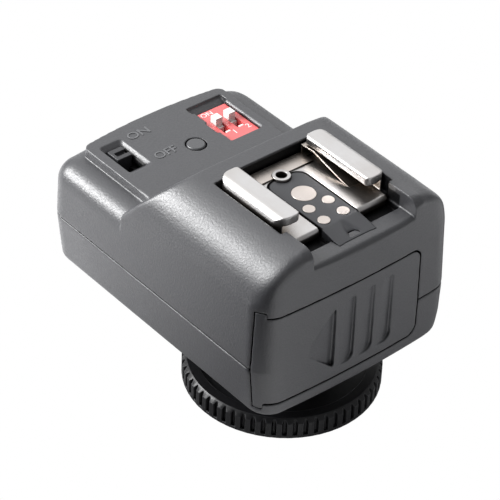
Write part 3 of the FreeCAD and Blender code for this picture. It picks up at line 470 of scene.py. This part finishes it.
def relax(obj, weight, steps):
    """Moves vertices towards their neighbours' mean where weight(x, y, z in mm) is above 0."""
    mesh = obj.data
    points = np.empty(len(mesh.vertices) * 3)
    mesh.vertices.foreach_get("co", points)
    points = points.reshape(-1, 3) * 1000
    weights = weight(points[:, 0], points[:, 1], points[:, 2])
    edges = np.empty(len(mesh.edges) * 2, dtype=np.int32)
    mesh.edges.foreach_get("vertices", edges)
    edges = edges.reshape(-1, 2)
    edges = edges[(weights > 0.01)[edges].any(axis=1)]
    used, local = np.unique(edges.ravel(), return_inverse=True)
    local = local.reshape(-1, 2)
    count = len(used)
    if not count:
        return
    here = np.concatenate([local[:, 0], local[:, 1]])
    there = np.concatenate([local[:, 1], local[:, 0]])
    neighbours = np.bincount(here, minlength=count).astype(float)
    pull = weights[used] * 0.5 * 0.5
    coords = [np.ascontiguousarray(points[used, i]) for i in range(3)]
    for _ in range(steps):
        for axis in coords:
            total = np.bincount(here, weights=axis[there], minlength=count)
            axis += pull * (total / neighbours - axis)
    for i in range(3):
        points[used, i] = coords[i]
    mesh.vertices.foreach_set("co", (points / 1000).ravel())
    shade_smooth(mesh)


# ------------------------------------------------------------------ moulded shells
TOP_VOXEL = 0.14
# a coarser mesh needs fewer steps to spread as far
STEP_SCALE = 1.0

top = moulded("top_shell", "housing", TOP_VOXEL, passes=3)
bottom = moulded("bottom_shell", "housing", 0.17, passes=3)
moulded("battery_door", "housing", 0.13, passes=6)

# upper side edges at the +X end
relax(top, lambda x, y, z: ramp(8.5, 11.5, x) * ramp(10.9, 12.6, abs(y)) * ramp(32.4, 34.4, z),
      int(560 * STEP_SCALE))
# upper side edges on the -X side of the shoe
relax(top, lambda x, y, z: (ramp(-19.5, -17.5, x) * (1 - ramp(-8.0, -6.0, x))
                            * ramp(9.5, 12.5, abs(y)) * ramp(29.5, 31.0, z)),
      int(74 * STEP_SCALE))
# long +Y edge towards the -X end
relax(top, lambda x, y, z: (1 - ramp(-14.0, -11.0, x)) * ramp(14.0, 15.2, y) * ramp(25.0, 26.5, z),
      int(600 * STEP_SCALE))
# lower rim of the top shell
relax(top, lambda x, y, z: 1 - ramp(21.4, 21.8, z), 40)
# upper rim of the bottom shell
relax(bottom, lambda x, y, z: ramp(20.4, 20.8, z) * (1 - ramp(21.3, 21.5, z)), 30)
# +Y side of the bottom shell, below the rim
relax(bottom, lambda x, y, z: ramp(13.0, 14.5, y) * (1 - ramp(18.5, 19.5, z)),
      int(60 * STEP_SCALE))

# ------------------------------------------------------------------ shoe
moulded("shoe_bracket", "nickel", 0.085, passes=9)
crisp("shoe_spring", "spring_steel", 0.04, angle=40)
insert = moulded("shoe_insert", "insert_plastic", 0.08, passes=2)
# middle of the insert's top at the +X end
relax(insert, lambda x, y, z: (ramp(9.6, 10.6, x) * (1 - ramp(2.2, 2.9, abs(y)))
                               * ramp(36.2, 36.7, z)), 60)

# ------------------------------------------------------------------ crisp pieces
# node, material, edge rounding in mm, segments of the rounding
CRISP_PIECES = (
    ("center_contact", "contact_nickel", 0.06, 3),
    ("small_contacts", "contact_nickel", 0.05, 3),
    ("lock_pin_eyelet", "nickel", 0.06, 3),
    ("door_bridge_plate", "spring_steel", 0.05, 2),
    ("shoe_board", "pcb_green", 0.04, 1),
    ("main_board", "pcb_green", 0.05, 1),
    ("shoe_wires", "wire_jacket", 0.0, 2),
    ("controller_chip", "chip_black", 0.06, 2),
    ("radio_module", "tin", 0.10, 2),
    ("crystal", "tin", 0.15, 3),
    ("capacitors", "chip_black", 0.12, 2),
    ("sync_thyristor", "chip_black", 0.06, 2),
    ("antenna_coil", "copper_wire", 0.0, 2),
    ("power_switch_housing", "switch_black", 0.06, 2),
    ("power_switch_slider", "knob_grey", 0.10, 3),
    ("dip_switch_body", "dip_red", 0.05, 2),
    ("dip_actuator_1", "dip_white", 0.28, 4),
    ("dip_actuator_2", "dip_white", 0.28, 4),
    ("tact_switch", "chip_black", 0.08, 2),
    ("tact_plunger", "switch_black", 0.06, 2),
    ("test_button", "button_top", 0.32, 4),
    ("battery_cell_1", "cell_wrap", 0.35, 4),
    ("battery_cell_2", "cell_wrap", 0.35, 4),
    ("positive_contact", "spring_steel", 0.05, 2),
    ("negative_contact", "spring_steel", 0.05, 2),
    ("battery_spring", "spring_steel", 0.0, 2),
    ("housing_screws", "screw_steel", 0.10, 2),
    ("board_screws", "screw_steel", 0.10, 2),
    ("shoe_foot", "foot_plastic", 0.15, 3),
    ("threaded_stem", "foot_plastic", 0.08, 2),
    ("foot_screws", "screw_steel", 0.06, 2),
    ("pressure_plate", "foot_plastic", 0.12, 2),
    ("locking_wheel", "wheel_plastic", 0.12, 2),
)
for piece in CRISP_PIECES:
    crisp(*piece)

# ------------------------------------------------------------------ lettering and stops
DECK_Z = 32.1
BLOCK_Z = DECK_Z - 0.65         # top of the two-way switch block
LETTER_DEPTH = 0.07             # letters moulded on the deck
LETTER_LIFT = 0.02              # their mid-depth above the deck
PRINT_DEPTH = 0.024             # marks printed on the switch block
STOP_SIZE = (0.44, 0.9, 0.26)   # small white blocks in the switch block
STOP_X, STOP_Y = -22.78, 7.08   # centre of the first
STOP_PITCH = 2.54
STOP_DROP = 0.20                # their centre below the block's top


def text_mesh(text, height, depth, bevel):
    curve = bpy.data.curves.new("t_" + text, "FONT")
    curve.body = text
    curve.size = height * MM
    curve.extrude = depth * MM / 2
    curve.bevel_depth = bevel * MM
    curve.bevel_resolution = 1
    curve.align_x = "CENTER"
    curve.align_y = "CENTER"
    obj = link_object("t_" + text, curve)
    bpy.context.view_layer.update()
    depsgraph = bpy.context.evaluated_depsgraph_get()
    mesh = bpy.data.meshes.new_from_object(obj.evaluated_get(depsgraph))
    bpy.data.objects.remove(obj)
    bpy.data.curves.remove(curve)
    return mesh


def label(name, text, place, height, depth, material, slot, wide, bevel=0.0):
    """Lettering that reads along +Y with its top towards -X, stretched by wide."""
    mesh = text_mesh(text, height, depth, bevel)
    mesh.transform(Matrix.Diagonal((wide, 1, 1, 1)))
    mesh.transform(Matrix(((0, -1, 0, 0), (1, 0, 0, 0), (0, 0, 1, 0), (0, 0, 0, 1))))
    mesh.transform(Matrix.Translation([v * MM for v in place]))
    shade_smooth(mesh, 30)
    add_piece(name, mesh, material, slot=slot)


def dip_stop(name, y):
    """A small block with rounded edges."""
    bm = bmesh.new()
    bmesh.ops.create_cube(bm, size=1.0)
    place = Matrix.Translation((STOP_X * MM, y * MM, (BLOCK_Z - STOP_DROP) * MM))
    stretch = Matrix.Diagonal((*(side * MM for side in STOP_SIZE), 1))
    bmesh.ops.transform(bm, matrix=place @ stretch, verts=bm.verts)
    bmesh.ops.bevel(bm, geom=bm.edges[:], offset=0.07 * MM, segments=2, affect="EDGES",
                    profile=0.5)
    mesh = mesh_from(bm, name.removeprefix("dip_"))
    shade_smooth(mesh, 40)
    add_piece(name, mesh, "dip_white")


# name, text, x, y, widening
for name, text, x, y, wide in (("label_on", "ON", -29.7, -5.0, 1.12),
                               ("label_off", "OFF", -23.3, -4.7, 1.02)):
    label(name, text, (x, y, DECK_Z + LETTER_LIFT), height=2.3, depth=LETTER_DEPTH,
          material="raised_letter", slot="housing", wide=wide, bevel=0.02)

# name, text, x, y, height
for name, text, x, y, height in (("mark_dip_on", "ON", -28.05, 7.05, 1.35),
                                 ("mark_dip_1", "1", -21.95, 7.75, 1.45),
                                 ("mark_dip_2", "2", -21.95, 10.35, 1.45)):
    label(name, text, (x, y, BLOCK_Z + PRINT_DEPTH / 2), height=height, depth=PRINT_DEPTH,
          material="print_white", slot="dip_white", wide=1.05)

for i in range(2):
    dip_stop("dip_stop_%d" % (i + 1), STOP_Y + i * STOP_PITCH)


# ------------------------------------------------------------------ stage
def quad(name, corners):
    mesh = bpy.data.meshes.new(name)
    mesh.from_pydata(corners, [], [(0, 1, 2, 3)])
    return link_object(name, mesh)


def backdrop():
    """White floor with a painted dark patch round the product, standing in for light falling off
    there; not seen directly by the camera.
    """
    half, z = 0.6, -0.00002
    floor = quad("floor", [(-half, -half, z), (half, -half, z), (half, half, z), (-half, half, z)])
    n = Shader("floor_white")
    n.put("Roughness", 0.7)
    x = n.xyz()[0]
    mottle = n.noise(30.0)
    # painted light falloff: brightness falls towards x = 0, dims towards -Y, and rises again on
    # the +X side
    bright = n.remap(x, (-0.052, 0.000), to=(0.95, 0.06))
    bright = n.math("MULTIPLY", bright, n.remap(n.xyz()[1], (-0.042, -0.027), to=(0.75, 1.3)))
    bright = n.math("MAXIMUM", bright, n.remap(x, (-0.002, 0.026), to=(0.07, 1.0)))
    bright = n.math("MULTIPLY", bright, n.remap(mottle, MIDDLE, to=(0.97, 1.03)))
    n.put("Base Color", n.mix(bright, BLACK, (1.0, 1.0, 1.01)))
    clear = n.new("ShaderNodeBsdfTransparent")
    is_camera = n.new("ShaderNodeLightPath").outputs["Is Camera Ray"]
    n.feed(n.surface, n.mix_shader(is_camera, n.principled.outputs[0], clear.outputs[0]))
    floor.data.materials.append(n.material)


def flag():
    """An unseen black card off the -Y side, mostly towards +X, that shades that side."""
    x0, x1, y0, y1, z0, z1 = -0.010, 0.055, -0.046, -0.034, 0.0005, 0.042
    card = quad("flag", [(x0, y0, z0), (x1, y1, z0), (x1, y1, z1), (x0, y0, z1)])
    n = Shader("flag_black")
    n.put("Base Color", n.mix(n.noise(40.0), (0.008, 0.008, 0.009), (0.014, 0.014, 0.015)))
    n.put("Roughness", 0.9)
    card.data.materials.append(n.material)
    card.visible_camera = False
    card.visible_shadow = False


backdrop()
flag()

# ------------------------------------------------------------------ world
ROOM = 0.37     # strength of the dim room between the soft boxes
# soft boxes: direction, full inside and gone outside (degrees from it), strength
LOBES = (
    ((-0.62, 0.50, 0.62), 22, 42, 1.0),     # broad, mirrored by the flat tops
    ((-0.59, -0.62, 0.52), 7, 19, 11.5),    # small and strong, towards -X and -Y
)


def soft_box(graph, generated, direction, inner, outer, strength):
    """Light that fades smoothly round a direction."""
    dot = graph.new("ShaderNodeVectorMath", operation="DOT_PRODUCT")
    graph.feed(dot.inputs[0], generated)
    dot.inputs[1].default_value = Vector(direction).normalized()
    span = (math.cos(math.radians(outer)), math.cos(math.radians(inner)))
    return graph.remap(dot.outputs["Value"], span, to=(0.0, strength),
                       interpolation="SMOOTHSTEP")


def studio():
    """White to the camera; a dim room with soft boxes for light and reflections."""
    world = bpy.data.worlds.new("studio")
    scene.world = world
    world.use_nodes = True
    graph = Graph(world.node_tree)
    output = graph.new("ShaderNodeOutputWorld")
    seen = graph.new("ShaderNodeBackground")
    graph.feed(seen.inputs[0], (1, 1, 1))
    seen.inputs[1].default_value = 1.0
    room = graph.new("ShaderNodeBackground")
    graph.feed(room.inputs[0], (0.985, 0.99, 1.0))
    is_camera = graph.new("ShaderNodeLightPath").outputs["Is Camera Ray"]
    both = graph.mix_shader(is_camera, room.outputs[0], seen.outputs[0])
    graph.feed(output.inputs[0], both)
    generated = graph.new("ShaderNodeTexCoord").outputs["Generated"]
    boxes = [soft_box(graph, generated, *lobe) for lobe in LOBES]
    total = graph.math("ADD", *boxes)
    graph.feed(room.inputs[1], graph.math("ADD", total, ROOM))


studio()

# ------------------------------------------------------------------ lights
# name, direction from target, distance, side, watts, target
AREA_LIGHTS = (
    # near, towards -X and -Y: a sheen that fades along the long rounding
    ("sheen", (-0.66, -0.62, 0.40), 0.14, 0.06, 0.16, (-0.034, -0.014, 0.030)),
    ("sheen_far", (-0.60, -0.62, 0.50), 0.27, 0.11, 0.25, (-0.024, -0.012, 0.032)),
    ("overhead", (-0.42, -0.30, 0.85), 0.20, 0.10, 0.10, (-0.008, 0.0, 0.024)),
)


def area_light(name, direction, distance, side, watts, target):
    direction = Vector(direction).normalized()
    light = bpy.data.lights.new(name, "AREA")
    light.shape = "RECTANGLE"
    light.size = side
    light.size_y = side
    light.energy = watts
    obj = link_object(name, light)
    obj.location = Vector(target) + direction * distance
    obj.rotation_mode = "QUATERNION"
    obj.rotation_quaternion = (-direction).to_track_quat("-Z", "Y")
    obj.visible_camera = False


for settings in AREA_LIGHTS:
    area_light(*settings)

# ------------------------------------------------------------------ camera
AZIMUTH, ELEVATION, ROLL = 0.84733, 0.66410, 0.0445     # radians; azimuth from -Y towards +X
CAMERA_DISTANCE = 353.117                               # mm
CAMERA_TARGET = (-4.405, -3.655, 24.712)                # mm
SENSOR_WIDTH = 36.0                                     # mm
FOCAL_LENGTH = 171.464976                               # mm


def add_camera():
    back = Vector((math.sin(AZIMUTH) * math.cos(ELEVATION),
                   -math.cos(AZIMUTH) * math.cos(ELEVATION),
                   math.sin(ELEVATION)))
    place = (Vector(CAMERA_TARGET) + back * CAMERA_DISTANCE) * MM
    forward = -back
    level = forward.cross(Vector((0, 0, 1))).normalized()
    upright = level.cross(forward)
    cos_roll, sin_roll = math.cos(ROLL), math.sin(ROLL)
    right = level * cos_roll + upright * sin_roll
    up = level * -sin_roll + upright * cos_roll
    camera = bpy.data.cameras.new("camera")
    camera.sensor_width = SENSOR_WIDTH
    camera.lens = FOCAL_LENGTH
    camera.clip_start = 0.01
    camera.clip_end = 10.0
    obj = link_object("camera", camera)
    rows = [(right[i], up[i], -forward[i], place[i]) for i in range(3)]
    obj.matrix_world = Matrix((*rows, (0, 0, 0, 1)))
    scene.camera = obj


add_camera()
scene.view_settings.view_transform = "Standard"
scene.view_settings.look = "None"
scene.view_settings.exposure = 0.0
scene.view_settings.gamma = 1.0

bpy.context.view_layer.update()
